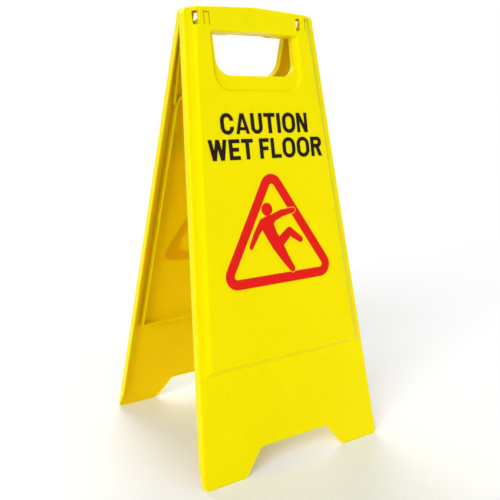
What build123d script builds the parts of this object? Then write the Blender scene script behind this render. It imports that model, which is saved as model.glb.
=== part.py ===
"""Folding wet floor sign: two identical moulded panels that clip together along the top edge.

Millimetres, +Z up, origin on the floor midway between the feet. X runs along the width of a panel.
The front panel faces -Y, and the rear panel is the same moulding turned half a turn about Z.

A panel is drawn flat first, in its own frame: X across, Y inward (away from the reader) and Z up the
slope from the bottom edge. Y = 0 is the face of the plain border, so the raised field has Y < 0.
"""
from build123d import *
from math import acos, atan2, ceil, cos, hypot, pi, radians, sin, tan
import os

# Overall sizes
panel_height = 618.5      # up the slope, from the feet to the top corners
peak_rise = 5.5           # how far the middle of the top edge stands above its corners
bottom_width = 299.0
top_width = 208.0         # at the height of the top corners, before they are rounded
lean = 12.55              # how far each panel leans from upright when the sign stands open, degrees

# Shell
wall = 2.5
rim_depth = 12.1          # depth of the turned-in side walls, from the face of the border
edge_radius = 2.5         # between the border and the side walls
top_corner_radius = 8.0
peak_radius = 95.0        # rounds the middle of the top edge
foot_corner_radius = 7.0
foot_taper = 30.0         # height over which the side walls run out to nothing at the feet

# Raised field
field_height = 5.0
border_flat = 4.0         # flat edge before the border sweeps up to the field
border_width = 15.5       # from the side of the panel to the crest of the field
field_bottom = 146.0      # height of the foot of the step under the field
step_run = 6.0            # height over which the step rises to the field
step_radius = 4.0         # rounding at the top and the foot of the step
crest_radius = 4.0        # rounding along the side crests of the field

# Notch between the feet
foot_width = 65.8
notch_height = 35.0
notch_top_width = 113.3
notch_radius = 10.0
notch_rim = 4.5           # depth of the turned-in wall round the notch

# Hand hole, placed from the top corners
stile_width = 41.4        # from the side of the panel to the hand hole
grip_height = 29.0        # from the top corners down to the hand hole
hole_height = 56.0
hole_radius = 22.0
hole_top_radius = 2.5
hole_rim = 9.0            # depth of the turned-in wall round the hand hole
hole_taper = 1.2          # how much narrower the hole is on each side where its sides end
grip_relief = 1.5         # raised middle of the hole's top edge, for the fingers
grip_relief_width = 58.0
dish_radius = 17.0        # round thumb dish in the middle of the grip
dish_depth = 1.2

# Sunk surround of the hand hole
surround_side = 6.5       # from the hole to the crest of the surround, at the sides
surround_below = 22.5     # the same below the hole
surround_above = 1.5
surround_run = 3.5        # width of its sloping wall
surround_radius = 25.0

# Stiffening ribs on the inside
rib_thickness = 2.2
rib_tip = 9.5             # depth that the ribs reach, from the face of the border
rib_inset = 17.0          # from the side of the panel to the rib frame
frame_bottom = 3.2        # rib frame above the step, at the bottom
frame_radius = 12.0
frame_below_surround = 4.0
stile_rib_gap = 5.4       # from the side of the panel to the stile ribs, at the hinge

# Hinge: pins and snap hooks
pin_radius = 2.5
pin_clearance = 0.1       # radial, between a pin and the hook that turns on it
pin_below_corner = 18.5
fold_gap = 0.6            # left between the side walls when the sign is folded
stop_gap = 0.3            # left between the top walls when the sign stands open
hook_wall = 2.4
hook_mouth = 4.0          # the pin snaps through this
hook_width = 6.2
hook_side_clearance = 0.4
cheek_thickness = 2.8
cheek_radius = 4.0
pin_window_width = 7.0
window_height = 17.5
window_radius = 1.0
tongue_slot = 1.3         # slot that frees the springy tongue in front of each hook
window_below_pin = 3.5
outer_knuckle_inset = 15.8    # from the side of the panel to the outer knuckle
knuckle_pitch = 16.0

# Printed artwork
ink = 0.2
letter_height = 27.4
letter_stroke = 5.9       # upright strokes
letter_bar = 5.2          # level strokes
letter_corner = 0.49      # radius of a round letter's corner, as a share of its narrower side
round_overshoot = 0.4      # round letters reach this far past the straight ones
letter_gap = 2.8
word_gap = 10.0
line_gap = 6.6
text_shift = 1.0          # the two lines are printed this far right of the middle
text_side_margin = 3.4    # from the wider line to the field's crest, where the field is narrowest
triangle_gap = 21.0       # from the second line to the triangle
triangle_side_margin = 22.9    # from the triangle to the field's crest, at mid height
triangle_slope = 58.9     # degrees, of its two upper sides
triangle_stroke = 13.5
triangle_radius = 18.0
keyline = 1.1             # clear line between the figure and the triangle
spare_above = 0.223       # share of the field's spare height that is left above the artwork

# Micro ribs on the lower face
rib_line_width = 2.6
rib_line_height = 0.35
rib_line_pitch = 9.0
rib_line_angle = 62.0
rib_band_bottom = 46.0
rib_band_top = 136.0
rib_band_side = 12.0

# Worked out from the sizes above
side_angle = atan2((bottom_width - top_width) / 2, panel_height)
pin_depth = rim_depth + fold_gap / 2
pin_height = panel_height - pin_below_corner
lean_rad = radians(lean)
half_spread = pin_height * sin(lean_rad) + pin_depth * cos(lean_rad)
axis_height = pin_height * cos(lean_rad) - pin_depth * sin(lean_rad)
hole_top = panel_height - grip_height
hole_bottom = hole_top - hole_height
surround_bottom = hole_bottom - surround_below
reach = 2 * (panel_height + bottom_width)    # longer than anything, for cutting tools
deep = pin_depth + 3 * (pin_radius + hook_wall)


def half_width(height):
    """Half the panel's width at a height up the slope."""
    return bottom_width / 2 - height * tan(side_angle)


hole_half = half_width(hole_top) - stile_width
surround_half = hole_half + surround_side
outer_knuckle = half_width(pin_height) - outer_knuckle_inset
inner_knuckle = outer_knuckle - knuckle_pitch
frame_top = surround_bottom - frame_below_surround
bore_radius = pin_radius + pin_clearance

face_plane = Plane(origin=(0, 0, 0), x_dir=(1, 0, 0), z_dir=(0, -1, 0))    # looks outward
side_plane = Plane(origin=(0, 0, 0), x_dir=(0, 1, 0), z_dir=(1, 0, 0))     # draws (depth, height)


def outline(*points):
    """Closed straight-sided face from its corners."""
    return make_face(Polyline(*points, close=True))


def through(sketch, depth_from, depth_to):
    """Prism of a sketch drawn on the panel's face, between two depths."""
    plane = face_plane.offset(-depth_to)
    return extrude(plane * sketch, depth_to - depth_from)


def across(sketch, x_from, x_to):
    """Prism of a (depth, height) sketch, between two places across the width."""
    return extrude(side_plane.offset(x_from) * sketch, x_to - x_from)


def corners_near(sketch, points, radius):
    """Round the corners of a sketch that lie at the given points."""
    picked = []
    for x, y in points:
        picked.append(sketch.vertices().sort_by_distance((x, y, 0))[0])
    return fillet(picked, radius)


# ---------------------------------------------------------------- the shell

def panel_outline(inset):
    """Front view of a panel without its notch, drawn smaller by inset at the top and the sides."""
    side = inset / cos(side_angle)
    peak = panel_height + peak_rise - inset
    top = panel_height - inset
    low = -inset
    points = [
        (-half_width(low) + side, low),
        (half_width(low) - side, low),
        (half_width(top) - side, top),
        (0, peak),
        (-half_width(top) + side, top),
    ]
    shape = outline(*points)
    shape = corners_near(shape, [points[2], points[4]], top_corner_radius - inset)
    return corners_near(shape, [points[3]], peak_radius)


def notch_outline(outset):
    """Notch between the feet, drawn larger by outset."""
    foot_inner = bottom_width / 2 - foot_width
    half_top = notch_top_width / 2
    slope = atan2(notch_height, foot_inner - half_top)
    grow = outset * tan(slope / 2)
    run_down = (notch_height + outset) / tan(slope)
    half_top_grown = half_top + grow
    points = [
        (-half_top_grown, notch_height + outset),
        (half_top_grown, notch_height + outset),
        (half_top_grown + 2 * run_down, -notch_height - outset),
        (-half_top_grown - 2 * run_down, -notch_height - outset),
    ]
    return corners_near(outline(*points), points[:2], notch_radius + outset)


def foot_outline():
    """Front view of a panel with its notch, and the corners of its feet rounded."""
    outer = bottom_width / 2
    corners = [(-outer, 0), (foot_width - outer, 0), (outer - foot_width, 0), (outer, 0)]
    return corners_near(panel_outline(0) - notch_outline(0), corners, foot_corner_radius)


def border_profile(inset):
    """Cut across one side, from the side wall over the border and its sweep up to the field."""
    run = border_width - border_flat
    radius = (run**2 + field_height**2) / (2 * field_height)
    arc = radius + inset
    field = inset - field_height
    angle = acos((field + radius) / arc)
    middle = (border_flat + arc * sin(angle / 2), arc * cos(angle / 2) - radius)
    crest = (border_flat + arc * sin(angle), field)
    edge = max(edge_radius - inset, edge_radius / 6)
    corner = inset + edge
    quarter = inset + edge * (1 - cos(radians(45)))
    path = Polyline((reach, field), (reach, deep), (inset, deep), (inset, corner))
    path += ThreePointArc((inset, corner), (quarter, quarter), (corner, inset))
    path += Line((corner, inset), (border_flat, inset)) if corner < border_flat else []
    path += ThreePointArc((border_flat, inset), middle, crest)
    path += Line(crest, (reach, field))
    return corners_near(make_face(path), [crest], crest_radius)


def step_profile(inset):
    """Cut up the panel, through the step between the lower face and the raised field."""
    rise = hypot(field_height, step_run)
    foot = field_bottom + inset * (rise - step_run) / field_height
    crest = (inset - field_height, foot + step_run)
    points = [(deep, -reach), (inset, -reach), (inset, foot), crest, (crest[0], reach), (deep, reach)]
    return corners_near(outline(*points), [(inset, foot), crest], step_radius)


def swept_side(inset):
    """Half-space bounded by one side of the panel, with its border and the field."""
    along = (sin(side_angle), 0, cos(side_angle))
    inward = (cos(side_angle), 0, -sin(side_angle))
    start = (-bottom_width / 2 - reach * along[0], 0, -reach * along[2])
    left = extrude(Plane(origin=start, x_dir=inward, z_dir=along) * border_profile(inset), 2 * reach)
    return left & mirror(left, about=Plane.YZ)


def surround_outline(grow):
    """Outline of the sunk surround of the hand hole."""
    half = surround_half + grow
    low = surround_bottom - grow
    high = hole_top + surround_above + grow
    points = [(-half, low), (half, low), (half, high), (-half, high)]
    shape = corners_near(outline(*points), points[:2], surround_radius + grow)
    return corners_near(shape, points[2:], hole_top_radius + surround_run + grow)


def surround_tool(inset):
    """Solid whose sloping wall and floor are those of the sunk surround."""
    rise = hypot(field_height, surround_run)
    grow = inset * (rise - surround_run) / field_height
    slope = surround_run / field_height
    above = 2 * field_height
    crest = face_plane.offset(field_height - inset + above) * surround_outline(grow + above * slope)
    floor = face_plane.offset(-inset) * surround_outline(grow - surround_run)
    return loft([crest, floor])


def hull_solid(inset):
    """The panel as one solid block, its outer surface moved inward by inset."""
    block = swept_side(inset) & across(step_profile(inset), -reach, reach)
    block = block & through(panel_outline(inset), -2 * field_height, deep)
    return block - surround_tool(inset)


def kept_depth():
    """Side view that a panel is trimmed to: the floor, the foot tapers, the rims and the stop."""
    high = panel_height + 2 * peak_rise
    meet = (half_spread - stop_gap / 2 - rim_depth * cos(lean_rad)) / sin(lean_rad)
    stop = (half_spread - stop_gap / 2 - high * sin(lean_rad)) / cos(lean_rad)
    out = -2 * field_height
    points = [
        (out, out * tan(lean_rad)),
        (wall, wall * tan(lean_rad)),
        (rim_depth, foot_taper),
        (rim_depth, meet),
        (stop, high),
        (out, high),
    ]
    return outline(*points)


# ---------------------------------------------------------------- openings and ribs

def hole_outline(grow):
    """Hand hole, drawn larger by grow."""
    half = hole_half + grow
    low_half = half - hole_taper
    low = hole_bottom - grow
    high = hole_top + grow
    points = [(-low_half, low), (low_half, low), (half, high), (-half, high)]
    shape = corners_near(outline(*points), points[:2], hole_radius + grow)
    shape = corners_near(shape, points[2:], hole_top_radius + grow)
    relief = grip_relief_width / 2
    ramp = 3 * grip_relief
    rise = high + grip_relief
    shape += outline((-relief - ramp, high - wall), (relief + ramp, high - wall), (relief + ramp, high),
                     (relief, rise), (-relief, rise), (-relief - ramp, high))
    return shape


def frame_outline(inset):
    """Rib frame round the pocket behind the field."""
    side = (rib_inset + inset) / cos(side_angle)
    low = field_bottom + frame_bottom + inset
    high = frame_top - inset
    points = [
        (-half_width(low) + side, low),
        (half_width(low) - side, low),
        (half_width(high) - side, high),
        (-half_width(high) + side, high),
    ]
    return corners_near(outline(*points), points[2:], frame_radius - inset)


def stile_ribs():
    """Two upright ribs between the rib frame and the top wall."""
    outer = half_width(pin_height) - stile_rib_gap
    low = frame_top - frame_radius
    high = panel_height
    centre = (low + high) / 2
    bars = Sketch()
    for side in (-1, 1):
        bars += Pos(side * (outer - rib_thickness / 2), centre) * Rectangle(rib_thickness, high - low)
    return bars


def micro_ribs():
    """Fine slanting lines on the lower face, leaning the opposite way on each half."""
    low, high = rib_band_bottom, rib_band_top
    centre = (low + high) / 2
    band = outline((rib_line_pitch / 2, low), (half_width(low) - rib_band_side, low),
                   (half_width(high) - rib_band_side, high), (rib_line_pitch / 2, high))
    lines = Sketch()
    count = ceil(bottom_width / rib_line_pitch / 2)
    for i in range(-count, 2 * count):
        place = Pos(i * rib_line_pitch, centre) * Rot(0, 0, -rib_line_angle)
        lines += place * Rectangle(2 * (high - low), rib_line_width)
    right = lines & band
    return right + mirror(right, about=Plane.YZ)


def dish():
    """Ball that leaves the shallow thumb dish in the grip."""
    ball = (dish_radius**2 + dish_depth**2) / (2 * dish_depth)
    height = (hole_top + panel_height + peak_rise) / 2
    return Pos(0, dish_depth - field_height - ball, height) * Sphere(ball)


# ---------------------------------------------------------------- hinge

def opening(width, height):
    """Face opening with its sill just below the pins, from its middle line."""
    return Pos(0, pin_height - window_below_pin + height / 2) * RectangleRounded(width, height, window_radius)


def pin_window(centre):
    """Opening in the face in front of a pin."""
    return through(Pos(centre, 0) * opening(pin_window_width, window_height), -2 * field_height, wall)


def tongue_window(centre):
    """Slot round the three free sides of the tongue in front of a hook."""
    slot = opening(hook_width + 2 * tongue_slot, window_height)
    slot -= opening(hook_width, window_height - tongue_slot)
    slot -= Pos(0, pin_height - window_below_pin) * Rectangle(hook_width, 2 * window_radius)
    return through(Pos(centre, 0) * slot, -2 * field_height, wall)


def pin_knuckle(centre):
    """Pin held between two cheeks that stand on the inside of the panel."""
    base = wall / 2 - field_height
    half = hook_width / 2 + hook_side_clearance
    shape = outline((base, pin_height - cheek_radius), (pin_depth, pin_height - cheek_radius),
                    (pin_depth, pin_height + cheek_radius), (base, pin_height + cheek_radius))
    shape += Pos(pin_depth, pin_height) * Circle(cheek_radius)
    pieces = across(shape, centre - half - cheek_thickness, centre - half)
    pieces += across(shape, centre + half, centre + half + cheek_thickness)
    bar = Pos(pin_depth, pin_height) * Circle(pin_radius)
    return pieces + across(bar, centre - half - cheek_thickness / 2, centre + half + cheek_thickness / 2)


def hook_knuckle(centre):
    """Snap hook that turns on the other panel's pin, with its mouth toward that panel."""
    base = wall / 2 - field_height
    ring = bore_radius + hook_wall
    sill = pin_height - window_below_pin
    half = hook_width / 2
    shape = outline((base, sill), (base, sill - 2 * ring + wall),
                    (pin_depth, pin_height - ring), (pin_depth - ring, pin_height))
    shape += Pos(pin_depth, pin_height) * Circle(ring)
    shape -= Pos(pin_depth, pin_height) * Circle(bore_radius)
    shape -= Pos(pin_depth + ring, pin_height) * Rectangle(2 * ring, hook_mouth)
    return across(shape, centre - half, centre + half)


# ---------------------------------------------------------------- one panel

def flat_panel():
    """The whole moulding in its own frame."""
    hull = hull_solid(0)
    trim = across(kept_depth(), -reach, reach)
    body = (hull - hull_solid(wall)) & trim
    stiff = through(frame_outline(0) - frame_outline(rib_thickness), -field_height, rib_tip)
    stiff += through(stile_ribs(), -field_height, rib_tip)
    stiff += through(hole_outline(wall), -field_height, hole_rim)
    stiff += through(notch_outline(wall), 0, notch_rim)
    body += stiff & hull & trim
    body -= through(hole_outline(0), -2 * field_height, deep)
    body &= through(foot_outline(), -2 * field_height, deep)
    body -= dish()
    hinge = pin_knuckle(-outer_knuckle) + pin_knuckle(inner_knuckle)
    hinge += hook_knuckle(-inner_knuckle) + hook_knuckle(outer_knuckle)
    body += hinge & hull
    for centre in (-outer_knuckle, inner_knuckle):
        body -= pin_window(centre)
    for centre in (-inner_knuckle, outer_knuckle):
        body -= tongue_window(centre)
    return body + through(micro_ribs(), -rib_line_height, wall / 2)


# ---------------------------------------------------------------- printed artwork

letter_width = {"A": 21.8, "C": 20.7, "E": 17.3, "F": 16.3, "I": 6.5, "L": 16.8,
                "N": 18.8, "O": 22.2, "R": 19.6, "T": 18.8, "U": 19.0, "W": 28.6}


def bar(x_from, y_from, x_to, y_to):
    """Upright rectangle between two corners."""
    return Pos((x_from + x_to) / 2, (y_from + y_to) / 2) * Rectangle(x_to - x_from, y_to - y_from)


def loop(width, low, high):
    """Rounded ring of a letter, from its left edge at 0."""
    inner_width = width - 2 * letter_stroke
    inner_height = high - low - 2 * letter_bar
    round_out = letter_corner * min(width, high - low)
    round_in = letter_corner * min(inner_width, inner_height)
    shape = RectangleRounded(width, high - low, round_out)
    shape -= RectangleRounded(inner_width, inner_height, round_in)
    return Pos(width / 2, (low + high) / 2) * shape


def stroke(foot, head, thick, height):
    """Slanting stroke from foot on the base line to head at a height, both its left edges."""
    return outline((foot, 0), (foot + thick, 0), (head + thick, height), (head, height))


def letter(name):
    """One block letter, with its left foot at the origin."""
    w, h, t, b = letter_width[name], letter_height, letter_stroke, letter_bar
    low, high = -round_overshoot, letter_height + round_overshoot
    stem = bar(0, 0, t, h)
    if name == "I":
        return stem
    if name == "L":
        return stem + bar(0, 0, w, b)
    if name == "F":
        return stem + bar(0, h - b, w, h) + bar(0, (h - b) / 2, 0.9 * w, (h + b) / 2)
    if name == "E":
        return stem + bar(0, h - b, w, h) + bar(0, (h - b) / 2, 0.9 * w, (h + b) / 2) + bar(0, 0, w, b)
    if name == "T":
        return bar(0, h - b, w, h) + bar((w - t) / 2, 0, (w + t) / 2, h)
    if name == "O":
        return loop(w, low, high)
    if name == "C":
        return loop(w, low, high) - bar(w / 2, 0.36 * h, 2 * w, 0.64 * h)
    if name == "U":
        cup = loop(w, low, h) & bar(0, low, w, h / 2)
        return cup + bar(0, h / 2, t, h) + bar(w - t, h / 2, w, h)
    if name == "N":
        return bar(0, 0, 0.9 * t, h) + bar(w - 0.9 * t, 0, w, h) + stroke(w - t, 0, t, h)
    if name == "A":
        thin = 0.88 * t
        sides = stroke(0, (w - 1.2 * thin) / 2, thin, h)
        sides += stroke(w - thin, (w - 0.8 * thin) / 2, thin, h)
        return sides + bar(0.2 * w, 0.18 * h, 0.8 * w, 0.18 * h + 0.8 * b)
    if name == "W":
        thin = 0.2 * w
        dip = 0.28 * w - thin / 2
        half = stroke(dip, 0, thin, h) + stroke(dip, (w - thin) / 2, thin, h)
        return half + Pos(w, 0) * mirror(half, about=Plane.YZ)
    bowl = loop(w, 0.44 * h, h) & bar(w / 2, 0, w, h)
    arms = bar(0, h - b, w / 2, h) + bar(0, 0.44 * h, w / 2, 0.44 * h + b)
    return stem + bowl + arms + stroke(w - 1.1 * t, 0.4 * w, 1.1 * t, 0.5 * h)


def line_length(words):
    """Length of a line of block letters."""
    gaps = letter_gap * (len(words) - 1) + (word_gap - 2 * letter_gap) * words.count(" ")
    return sum(letter_width.get(name, 0) for name in words) + gaps


def line_of_text(words, base):
    """Centred line of block letters, fitted to the field's width."""
    field = field_half(surround_bottom) - text_side_margin
    fit = 2 * field / line_length("WET FLOOR")
    place = -line_length(words) / 2
    shape = Sketch()
    for name in words:
        if name == " ":
            place += word_gap - letter_gap
        else:
            shape += Pos(place, 0) * letter(name)
            place += letter_width[name] + letter_gap
    return Pos(text_shift, base) * scale(shape, by=(fit, 1, 1))


def field_half(height):
    """Half the width of the raised field at a height up the slope."""
    return half_width(height) - border_width / cos(side_angle)


figure_limbs = {
    "shoulders": [(-0.23, 0.97, 0.075), (-0.14, 0.99, 0.085), (-0.06, 1.01, 0.07)],
    "trunk": [(-0.15, 0.93, 0.12), (-0.08, 0.76, 0.105), (0.01, 0.60, 0.105)],
    "trailing_arm": [(-0.24, 0.98, 0.06), (-0.37, 0.81, 0.052), (-0.49, 0.62, 0.036)],
    "raised_arm": [(-0.08, 1.02, 0.062), (0.14, 1.10, 0.056), (0.37, 1.13, 0.042)],
    "raised_leg": [(0.03, 0.62, 0.085), (0.26, 0.80, 0.068), (0.46, 0.65, 0.05)],
    "slipping_leg": [(0.01, 0.60, 0.105), (0.12, 0.40, 0.078), (0.25, 0.20, 0.052)],
}
field_low = field_bottom + step_run
triangle_half = field_half((field_low + surround_bottom) / 2) - triangle_side_margin
triangle_rise = (triangle_half - triangle_radius) * tan(radians(triangle_slope))
triangle_height = triangle_rise + 2 * triangle_radius
art_height = triangle_height + triangle_gap + 2 * letter_height + line_gap
art_top = surround_bottom - spare_above * (surround_bottom - field_low - art_height)
first_base = art_top - letter_height
second_base = first_base - line_gap - letter_height
triangle_base = second_base - triangle_gap - triangle_height


def hazard_triangle():
    """Rounded warning triangle: an even band, cut back where the figure crosses it."""
    side = triangle_half - triangle_radius
    low = triangle_base + triangle_radius
    core = outline((-side, low), (side, low), (0, low + triangle_rise))
    band = offset(core, triangle_radius) - offset(core, triangle_radius - triangle_stroke)
    return band - slip_figure(2 * keyline)


def limb(joints, grow):
    """Tapering limb with round joints, each (x, y, radius) in the figure's units, thicker by grow."""
    unit = triangle_half
    shape = Sketch()
    placed = [(unit * x, triangle_base + unit * y, unit * r + grow / 2) for x, y, r in joints]
    for x, y, radius in placed:
        shape += Pos(x, y) * Circle(radius)
    for (x0, y0, r0), (x1, y1, r1) in zip(placed, placed[1:]):
        run = hypot(x1 - x0, y1 - y0)
        lean_in = atan2(r0 - r1, run)
        turn = atan2(y1 - y0, x1 - x0) * 180 / pi
        up, along = cos(lean_in), sin(lean_in)
        near, far = (r0 * along, r0 * up), (run + r1 * along, r1 * up)
        side = outline(near, far, (far[0], -far[1]), (near[0], -near[1]))
        shape += Pos(x0, y0) * Rot(0, 0, turn) * side
    return shape


def slip_figure(grow):
    """Person slipping backward; points are in half widths of the triangle, from its base line."""
    head = Pos(-0.13 * triangle_half, triangle_base + 1.18 * triangle_half)
    shape = head * Circle(0.102 * triangle_half + grow / 2)
    for joints in figure_limbs.values():
        shape += limb(joints, grow)
    return shape


def printed(sketch):
    """Film of ink on the raised field."""
    return through(sketch, -field_height - ink, -field_height)


# ---------------------------------------------------------------- the sign

def standing(shape, turned):
    """Lean a flat shape back onto its feet; the rear panel's are turned half round."""
    placed = Pos(0, -half_spread, 0) * Rot(-lean, 0, 0) * shape
    return Rot(0, 0, 180) * placed if turned else placed


def main():
    os.makedirs("parts", exist_ok=True)
    pieces = {
        "panel": flat_panel(),
        "caution_print": printed(line_of_text("CAUTION", first_base)),
        "wet_floor_print": printed(line_of_text("WET FLOOR", second_base)),
        "triangle_print": printed(hazard_triangle()),
        "figure_print": printed(slip_figure(0)),
    }
    for name, shape in pieces.items():
        for side, turned in (("front", False), ("rear", True)):
            placed = standing(shape, turned)
            solids = placed.solids()
            piece = solids[0] if len(solids) == 1 else Compound(children=solids)
            piece.label = f"{side}_{name}"
            export_step(piece, f"parts/{side}_{name}.step")


main()
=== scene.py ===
"""Folding wet floor sign: finishes, floor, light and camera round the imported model."""
import bpy
from math import cos, pi, radians, sin
from mathutils import Matrix, Vector

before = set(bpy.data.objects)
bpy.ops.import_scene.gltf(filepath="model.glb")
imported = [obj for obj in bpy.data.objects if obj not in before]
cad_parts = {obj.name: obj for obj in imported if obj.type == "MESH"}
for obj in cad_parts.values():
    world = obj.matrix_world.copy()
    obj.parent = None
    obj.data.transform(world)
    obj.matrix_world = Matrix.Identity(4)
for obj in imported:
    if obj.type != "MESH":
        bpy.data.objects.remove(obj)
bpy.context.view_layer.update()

# Sizes that the finishes follow, in metres and radians
lean = radians(12.55)
side_slope = 0.0754       # how far a side of the sign comes in for each metre up
# Across the sign, the painted shade on edge-on faces fades out between the next two
rib_place, wall_place = 0.138, 0.145    # just outside the rib frame, and just inside the side walls
# Sizes of the red triangle print, which place its painted shade on the inner faces
triangle_slope = radians(58.9)
triangle_half, triangle_base, triangle_corner = 0.0866, 0.2505, 0.018
triangle_band = 0.0135
apex_softness, corner_softness = 0.012, 0.045
edge_blur = 0.002

# ------------------------------------------------------------------ shader arithmetic


class Field:
    """A socket that Python arithmetic works on; each operation adds a Math node."""

    def __init__(self, tree, socket):
        self.tree = tree
        self.socket = socket

    def math(self, operation, *others):
        return self.tree.node("ShaderNodeMath", {"operation": operation}, [self, *others])

    def __add__(self, other):
        return self.math("ADD", other)

    def __sub__(self, other):
        return self.math("SUBTRACT", other)

    def __mul__(self, other):
        return self.math("MULTIPLY", other)

    def __truediv__(self, other):
        return self.math("DIVIDE", other)

    def __rsub__(self, other):
        return self.tree.node("ShaderNodeMath", {"operation": "SUBTRACT"}, [other, self])

    __radd__ = __add__
    __rmul__ = __mul__


class Finish:
    """A material under construction, with one method that adds any node."""

    def __init__(self, name, color, rough, **constants):
        self.material = bpy.data.materials.new(name)
        self.material.use_nodes = True
        self.nodes = self.material.node_tree.nodes
        self.links = self.material.node_tree.links
        self.shader = self.nodes["Principled BSDF"]
        self.set("Base Color", (*color, 1))
        self.set("Roughness", rough)
        for key, value in constants.items():
            self.set(key.replace("_", " ").title().replace("Ior", "IOR"), value)

    def set(self, socket, value):
        """Give one of the shader's sockets a constant or a link."""
        target = self.shader.inputs[socket]
        if isinstance(value, Field):
            self.links.new(value.socket, target)
        else:
            target.default_value = value

    def node(self, kind, settings=None, inputs=(), output=0):
        """Add a node: its settings first, then the values or links of its sockets."""
        made = self.nodes.new(kind)
        for key, value in (settings or {}).items():
            setattr(made, key, value)
        pairs = inputs.items() if isinstance(inputs, dict) else enumerate(inputs)
        for key, value in pairs:
            if isinstance(value, Field):
                self.links.new(value.socket, made.inputs[key])
            else:
                made.inputs[key].default_value = value
        return Field(self, made.outputs[output])

    def place(self):
        """Object coordinates."""
        return self.node("ShaderNodeTexCoord", output=3)

    def axis(self, number):
        """One of the object coordinates: 0 across, 1 back, 2 up."""
        return self.node("ShaderNodeSeparateXYZ", {}, [self.place()], number)

    def noise(self, scale, detail=2.0, rough=0.5):
        """Noise from 0 to 1, with features about 1 / scale metres across."""
        settings = {"noise_dimensions": "3D"}
        values = {"Vector": self.place(), "Scale": scale, "Detail": detail, "Roughness": rough}
        return self.node("ShaderNodeTexNoise", settings, values)

    def ramp(self, value, low, high):
        """0 below low, 1 above high, and even between."""
        settings = {"interpolation_type": "SMOOTHSTEP"}
        return self.node("ShaderNodeMapRange", settings, {"Value": value, "From Min": low, "From Max": high})

    def blend(self, factor, first, second):
        """Mix of two colours."""
        settings = {"data_type": "RGBA"}
        values = {0: factor, 6: self.color(first), 7: self.color(second)}
        return self.node("ShaderNodeMix", settings, values, output=2)

    @staticmethod
    def color(value):
        return value if isinstance(value, Field) else (*value, 1)

    def bump(self, height, strength, distance):
        """Turn a height field into the surface's normal."""
        values = {"Strength": strength, "Distance": distance, "Height": height}
        self.set("Normal", self.node("ShaderNodeBump", {}, values))


# ------------------------------------------------------------------ finishes


def moulded_yellow(name, inward):
    """Glossy polypropylene: deep yellow, slightly translucent, with a faint moulded grain.

    The inner faces are painted with shade: a deeper, more orange yellow that stands in for the shade and the
    light coming through the wall inside the sign, and a darker orange band where the red triangle lies on the
    other side of the wall.
    """
    finish = Finish(name, (0.84, 0.72, 0.001), 0.32,
                    subsurface_weight=1.0, subsurface_scale=0.0035, ior=1.49, specular_ior_level=0.2)
    finish.shader.inputs["Subsurface Radius"].default_value = (1.0, 0.6, 0.03)
    finish.shader.inputs["Specular Tint"].default_value = (1.0, 0.88, 0.0, 1)
    cloud = finish.noise(14.0, 3.0)
    outside = finish.blend(cloud, (0.80, 0.72, 0.001), (0.84, 0.76, 0.001))
    # Painted shade: the inner faces get a darker, more orange copy of the same yellow, keeping the same
    # random tone
    inside = finish.blend(cloud, (0.79, 0.63, 0.001), (0.84, 0.68, 0.001))
    # Painted shade: a darker orange where the red triangle's band lies behind the wall and its ink would
    # block light coming through
    inside = finish.blend(0.6 * triangle_painted_shade_mask(finish), inside, (0.80, 0.30, 0.001))
    # The painted shade goes on faces turned inward, and on faces edge-on to them inside the rib frame
    facing = finish.node("ShaderNodeTexCoord", output=1)
    along = finish.node("ShaderNodeVectorMath", {"operation": "DOT_PRODUCT"}, [facing, inward], 1)
    from_side = finish.axis(0).math("ABSOLUTE") + side_slope * finish.axis(2)
    within_ribs = 1.0 - finish.ramp(from_side, rib_place, wall_place)
    edge_on = 1.0 - finish.ramp(along.math("ABSOLUTE"), 0.15, 0.65)
    painted_shade_mask = finish.ramp(along, 0.15, 0.65) + edge_on * within_ribs
    finish.set("Base Color", finish.blend(painted_shade_mask.math("MINIMUM", 1.0), outside, inside))
    finish.set("Roughness", 0.27 + 0.10 * finish.noise(60.0, 4.0))
    grain = finish.noise(900.0, 2.0)
    finish.bump(grain, 0.12, 0.0004)
    return finish.material


def triangle_painted_shade_mask(finish):
    """Mask of the painted shade behind the red triangle's band on the inner faces, from 0 to 1."""
    aside = finish.axis(0)
    from_axis = (aside * aside + apex_softness**2).math("SQRT")
    above = finish.axis(2) / cos(lean) - triangle_base
    outward = (from_axis - triangle_half) * sin(triangle_slope)
    upward = (above - triangle_corner) * cos(triangle_slope)
    past_side = outward + upward + triangle_corner * (sin(triangle_slope) - 1.0)
    past = past_side.math("SMOOTH_MAX", 0.0 - above, corner_softness)
    inner_edge = finish.ramp(past, -triangle_band - edge_blur, -triangle_band + edge_blur)
    return inner_edge * (1.0 - finish.ramp(past, -edge_blur, edge_blur))


def printed_ink(name, dark, light, rough):
    """Screen-printed ink: an even coat whose depth varies a little."""
    finish = Finish(name, dark, rough, specular_ior_level=0.12)
    finish.set("Base Color", finish.blend(finish.noise(70.0, 4.0), dark, light))
    finish.set("Roughness", rough + 0.08 * (finish.noise(300.0, 3.0) - 0.5))
    finish.bump(finish.noise(1500.0, 2.0), 0.10, 0.0002)
    return finish.material


def dress(node, material):
    """Give a CAD node its finish."""
    piece = bpy.data.objects[node]
    piece.data.materials.clear()
    piece.data.materials.append(material)


black = printed_ink("black_ink", (0.010, 0.003, 0.002), (0.020, 0.006, 0.004), 0.42)
red = printed_ink("red_ink", (0.68, 0.004, 0.002), (0.76, 0.008, 0.004), 0.40)
for side, back in (("front", 1), ("rear", -1)):
    inward = (0, back * cos(lean), -sin(lean))
    dress(f"{side}_panel", moulded_yellow(f"{side}_moulded_yellow", inward))
    for node in ("caution_print", "wet_floor_print"):
        dress(f"{side}_{node}", black)
    for node in ("triangle_print", "figure_print"):
        dress(f"{side}_{node}", red)

# ------------------------------------------------------------------ floor, light and camera


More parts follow.
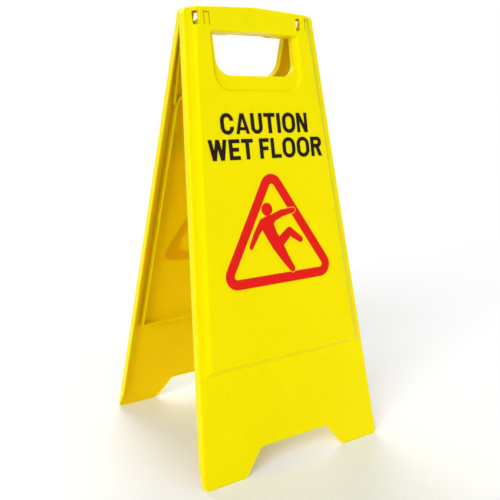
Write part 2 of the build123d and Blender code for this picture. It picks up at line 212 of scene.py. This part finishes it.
def floor():
    """Wide pale floor that the sign stands on."""
    half = 6.0
    mesh = bpy.data.meshes.new("floor")
    corners = [(-half, -half, 0), (half, -half, 0), (half, half, 0), (-half, half, 0)]
    mesh.from_pydata(corners, [], [(0, 1, 2, 3)])
    ground = bpy.data.objects.new("floor", mesh)
    bpy.context.scene.collection.objects.link(ground)
    mesh.materials.append(Finish("floor", (0.96, 0.96, 0.96), 0.7).material)


def sun(name, toward, spread, strength):
    """Distant soft light that comes from a direction, the same over the whole floor."""
    light = bpy.data.lights.new(name, "SUN")
    light.angle = radians(spread)
    light.energy = strength
    holder = bpy.data.objects.new(name, light)
    holder.rotation_euler = Vector(toward).to_track_quat("Z", "Y").to_euler()
    bpy.context.scene.collection.objects.link(holder)


def sky(cast, seen):
    """Even white light from all round, over a backdrop that shows white."""
    world = bpy.data.worlds.new("sky")
    world.use_nodes = True
    nodes, links = world.node_tree.nodes, world.node_tree.links
    path = nodes.new("ShaderNodeLightPath")
    mixed = nodes.new("ShaderNodeMixShader")
    links.new(path.outputs["Is Camera Ray"], mixed.inputs[0])
    for place, strength in enumerate((cast, seen), 1):
        glow = nodes.new("ShaderNodeBackground")
        glow.inputs["Strength"].default_value = strength
        glow.inputs["Color"].default_value = (1, 1, 1, 1)
        links.new(glow.outputs[0], mixed.inputs[place])
    links.new(mixed.outputs[0], nodes["World Output"].inputs[0])
    bpy.context.scene.world = world


def camera():
    """Camera at standing height, off to the left of the sign's front."""
    turn, tilt, roll = radians(33.46), radians(-13.66), radians(0.85)
    view = bpy.data.cameras.new("camera")
    view.sensor_width = 36.0
    view.lens = 48.0
    holder = bpy.data.objects.new("camera", view)
    turned = Matrix.Rotation(-turn, 4, "Z") @ Matrix.Rotation(pi / 2 + tilt, 4, "X")
    holder.matrix_world = Matrix.Translation((-0.521, -0.802, 0.505)) @ turned @ Matrix.Rotation(roll, 4, "Z")
    bpy.context.scene.collection.objects.link(holder)
    bpy.context.scene.camera = holder


floor()
sky(0.42, 1.0)
sun("key", (-0.76, -0.44, 0.46), 34, 1.8)
sun("front", (0.15, -0.9, 0.35), 60, 0.6)
sun("back", (0.2, 0.9, 0.4), 60, 2.3)
camera()
bpy.context.scene.view_settings.view_transform = "Standard"
